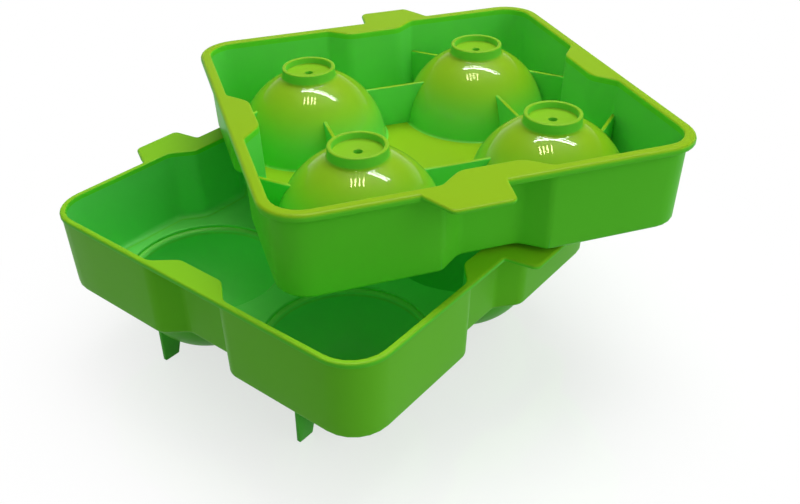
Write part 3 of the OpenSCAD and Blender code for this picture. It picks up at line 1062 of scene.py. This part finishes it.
class MOULD_OT_upper_wall(bpy.types.Operator):
    """Builds the upper tray's wall with its rounded base"""

    bl_idname = "mould.upper_wall"
    bl_label = "Upper wall"

    def execute(self, context):
        scene = context.scene
        up = scene.mould_upper
        surface = wall_surface(scene.mould_wall, up.inset, up.ring_z, up.ring_z + up.floor, up.lip_z)
        surface = moved(surface, rest_matrix(scene))
        add_piece(scene, "upper_tray_wall", surface, "upper_tray", ["upper_wall"])
        return {"FINISHED"}


class MOULD_OT_upper_floor(bpy.types.Operator):
    """Builds the upper tray's floor with the four seat rings below it"""

    bl_idname = "mould.upper_floor"
    bl_label = "Upper floor"

    def execute(self, context):
        scene = context.scene
        wall, up, ball = scene.mould_wall, scene.mould_upper, scene.mould_ball
        deck = up.ring_z + up.floor
        inset = seam_inset(wall, up.inset, up.lip_z - deck)
        e = RING_EDGE
        lean = math.degrees(math.asin(deck / ball.radius))
        hole = np.concatenate(
            [
                arc((0, 0), ball.radius, lean, 1, 4),
                arc((ball.radius + e, e), e, 225, 270, 2),
                arc((up.ring - e, e), e, 270, 360, 4),
                [(up.ring, up.ring_z)],
            ]
        )
        surface = moved(floor_surface(ball, wall, inset, hole, deck, up.ring_z), rest_matrix(scene))
        add_piece(scene, "upper_tray_floor", surface, "upper_tray", ["upper_floor"])
        return {"FINISHED"}


class MOULD_OT_upper_lip(bpy.types.Operator):
    """Builds the upper tray's lip with its two finger tabs"""

    bl_idname = "mould.upper_lip"
    bl_label = "Upper lip"

    def execute(self, context):
        scene = context.scene
        wall, up, tab = scene.mould_wall, scene.mould_upper, scene.mould_tab
        inset, top = up.inset + wall.thick, up.lip_z + up.lip
        surface = rim_surface(wall, tab, up.lip_half, inset, up.lip_z, top, (0, 2), False, tab.ahead)
        nodes = ["upper_lip", "upper_tab_front", "upper_tab_back"]
        add_piece(scene, "upper_tray_lip", moved(surface, rest_matrix(scene)), "upper_tray", nodes)
        return {"FINISHED"}


class MOULD_OT_domes(bpy.types.Operator):
    """Builds the four domes with their filling collars"""

    bl_idname = "mould.domes"
    bl_label = "Domes"

    def execute(self, context):
        scene = context.scene
        ball = scene.mould_ball
        dome = dome_surface(ball, scene.mould_upper)
        rest = rest_matrix(scene)
        for name, (x, y) in UPPER_PLACES.items():
            place = rest @ shifted(x * ball.pitch / 2, y * ball.pitch / 2, 0)
            add_piece(scene, "upper_tray_dome_" + name, moved(dome, place), "upper_tray", ["dome_" + name])
        return {"FINISHED"}


class MOULD_OT_ribs(bpy.types.Operator):
    """Builds the straight ribs between the domes and the slanted ribs to the notches"""

    bl_idname = "mould.ribs"
    bl_label = "Ribs"

    def execute(self, context):
        scene = context.scene
        ball, wall, up = scene.mould_ball, scene.mould_wall, scene.mould_upper
        rest = rest_matrix(scene)
        rib = straight_rib(ball, up)
        cross = [moved(rib, rest @ turned(k) @ shifted(0, -ball.pitch / 2, 0)) for k in range(4)]
        add_piece(scene, "upper_tray_cross_ribs", together(cross), "upper_tray", ["cross_ribs"])
        rib, place = slanted_rib(ball, wall, up)
        places = [rest @ turned(k, mirror) @ place for k in range(4) for mirror in (False, True)]
        slanted = [facing_out(moved(rib, matrix)) for matrix in places]
        add_piece(scene, "upper_tray_corner_ribs", together(slanted), "upper_tray", ["corner_ribs"])
        return {"FINISHED"}


# Stage


def add_lamp(scene, name, at, towards, along, size, watts, gloss, tint=(1, 1, 1)):
    """Area lamp that faces a point, with its long side along a direction. A gloss lamp is seen only in
    the gloss, and any other one only lights."""
    data = bpy.data.lights.new(name, "AREA")
    data.shape = "RECTANGLE"
    data.size, data.size_y = size
    data.energy = watts
    data.color = tint
    lamp = bpy.data.objects.new(name, data)
    lamp.visible_diffuse, lamp.visible_glossy = not gloss, gloss
    scene.collection.objects.link(lamp)
    back = (Vector(at) - Vector(towards)).normalized()
    x = (Vector(along) - back * Vector(along).dot(back)).normalized()
    y = back.cross(x)
    lamp.matrix_world = Matrix.Translation(at) @ Matrix((x, y, back)).transposed().to_4x4()


def add_floor(scene):
    """Wide floor below the object."""
    mesh = bpy.data.meshes.new("floor")
    mesh.from_pydata([(-4, -4, 0), (4, -4, 0), (4, 4, 0), (-4, 4, 0)], [], [(0, 1, 2, 3)])
    mesh.materials.append(white_floor(scene))
    floor = bpy.data.objects.new("floor", mesh)
    scene.collection.objects.link(floor)


def add_surroundings(scene):
    """White surroundings. The camera sees them plain white, gloss sees them darker overhead, and the
    object is lit by their ambient strength."""
    look = scene.mould_stage
    scene.world = bpy.data.worlds.new("surroundings")
    tree = empty_tree(scene.world)
    camera, glossy, through = ray_kinds(tree)
    way = tree.node("ShaderNodeTexCoord", output="Generated")
    height = tree.node("ShaderNodeSeparateXYZ", None, {0: way}, "Z")
    shown = 1 - (1 - look.ceiling) * height.between(look.ceiling_start, look.ceiling_full)
    mirrored = glossy + through
    strength = camera + mirrored * shown + look.ambient * (1 - camera - mirrored)
    sky = tree.node("ShaderNodeBackground", None, {"Color": (1, 1, 1, 1), "Strength": strength})
    tree.node("ShaderNodeOutputWorld", None, {"Surface": sky})


def add_lamps(scene):
    """Two strip lamps and a barred window for the gloss, a soft key lamp overhead, a wide fill lamp at the
    side, and the faint green light that comes through the upper tray's floor. The power of a lamp for the
    gloss is its brightness times pi times its area."""
    look = scene.mould_stage
    along = (0.79, 0.42, -0.08)
    strip_length = 0.80
    for shift, width in ((-0.035, 0.05), (0.035, 0.02)):
        at = MIDDLE + Vector((-0.03, 0.28 + shift, 0.94 - 0.35 * shift))
        watts = look.strip * math.pi * strip_length * width
        add_lamp(scene, "strip_lamp", at, MIDDLE, along, (strip_length, width), watts, True)
    bar = (0.22, 0.03)
    bar_pitch = 0.082
    warm = (1, 0.9, 0.5)
    for k in range(4):
        at = MIDDLE + Vector((-0.03, -0.08, 0.995)) + Vector((0.79, 0.61, 0)) * bar_pitch * (k - 1.5)
        watts = look.window * math.pi * bar[0] * bar[1]
        add_lamp(scene, "window_lamp", at, MIDDLE, (-0.61, 0.79, 0), bar, watts, True, warm)
    at = MIDDLE + Vector((-0.05, 0.30, 0.95))
    add_lamp(scene, "key_lamp", at, MIDDLE, along, (0.8, 0.6), look.key, False)
    at = MIDDLE + Vector((1.0, 0.15, 0.50))
    add_lamp(scene, "fill_lamp", at, MIDDLE, (0.15, 1.0, 0), (0.9, 0.9), look.fill, False)
    at = Matrix(rest_matrix(scene)) @ Vector((0, 0, -1 * MM))
    below = at - Vector((0, 0, 1))
    green = (0.25, 1.0, 0.40)
    add_lamp(scene, "glow_lamp", at, below, (0.83, 0.56, 0), (0.1, 0.1), look.glow, False, green)


def add_camera(scene):
    """Camera at the photograph's angle: yaw turns it about the upright axis, and pitch looks it down."""
    data = bpy.data.cameras.new("camera")
    data.sensor_width = 36
    data.lens = scene.mould_stage.lens
    camera = bpy.data.objects.new("camera", data)
    scene.collection.objects.link(camera)
    at = (0.155786, -0.169102, 0.180041)
    pitch = 0.58872
    yaw = -0.65786
    cp, sp, cy, sy = math.cos(pitch), math.sin(pitch), math.cos(yaw), math.sin(yaw)
    right = Vector((cy, -sy, 0))
    up = Vector((sy * sp, cy * sp, cp))
    forward = Vector((sy * cp, cy * cp, -sp))
    turn = Matrix((right, up, -forward)).transposed().to_4x4()
    camera.matrix_world = Matrix.Translation(at) @ turn
    scene.camera = camera


class MOULD_OT_stage(bpy.types.Operator):
    """Builds the floor, the surroundings, the lamps and the camera"""

    bl_idname = "mould.stage"
    bl_label = "Stage"

    def execute(self, context):
        scene = context.scene
        add_floor(scene)
        add_surroundings(scene)
        add_lamps(scene)
        add_camera(scene)
        scene.view_settings.view_transform = "Standard"
        return {"FINISHED"}


OPERATORS = (
    MOULD_OT_lower_wall,
    MOULD_OT_lower_floor,
    MOULD_OT_lower_rim,
    MOULD_OT_cups,
    MOULD_OT_feet,
    MOULD_OT_upper_wall,
    MOULD_OT_upper_floor,
    MOULD_OT_upper_lip,
    MOULD_OT_domes,
    MOULD_OT_ribs,
    MOULD_OT_stage,
)

GROUPS = {
    "mould_ball": BallSizes,
    "mould_wall": WallSizes,
    "mould_tab": TabSizes,
    "mould_lower": LowerSizes,
    "mould_upper": UpperSizes,
    "mould_plastic": PlasticLook,
    "mould_stage": StageLook,
}


class MOULD_PT_panel(bpy.types.Panel):
    """Sizes, colours and pieces of the mould"""

    bl_idname = "MOULD_PT_panel"
    bl_label = "Ice ball mould"
    bl_space_type = "VIEW_3D"
    bl_region_type = "UI"
    bl_category = "Mould"

    def draw(self, context):
        for group in GROUPS:
            box = self.layout.box()
            values = getattr(context.scene, group)
            for name in values.__annotations__:
                box.prop(values, name)
        for operator in OPERATORS:
            self.layout.operator(operator.bl_idname)


def register():
    """Registers the classes and hangs the property groups on the scene."""
    for group, kind in GROUPS.items():
        bpy.utils.register_class(kind)
        setattr(bpy.types.Scene, group, PointerProperty(type=kind))
    for kind in OPERATORS + (MOULD_PT_panel,):
        bpy.utils.register_class(kind)


def unregister():
    """Takes back what register did."""
    for kind in (MOULD_PT_panel,) + OPERATORS[::-1]:
        bpy.utils.unregister_class(kind)
    for group, kind in GROUPS.items():
        delattr(bpy.types.Scene, group)
        bpy.utils.unregister_class(kind)


def main():
    """Builds every piece and the stage through the operators."""
    register()
    bpy.ops.mould.lower_wall()
    bpy.ops.mould.lower_floor()
    bpy.ops.mould.lower_rim()
    bpy.ops.mould.cups()
    bpy.ops.mould.feet()
    bpy.ops.mould.upper_wall()
    bpy.ops.mould.upper_floor()
    bpy.ops.mould.upper_lip()
    bpy.ops.mould.domes()
    bpy.ops.mould.ribs()
    bpy.ops.mould.stage()


if __name__ == "__main__":
    main()
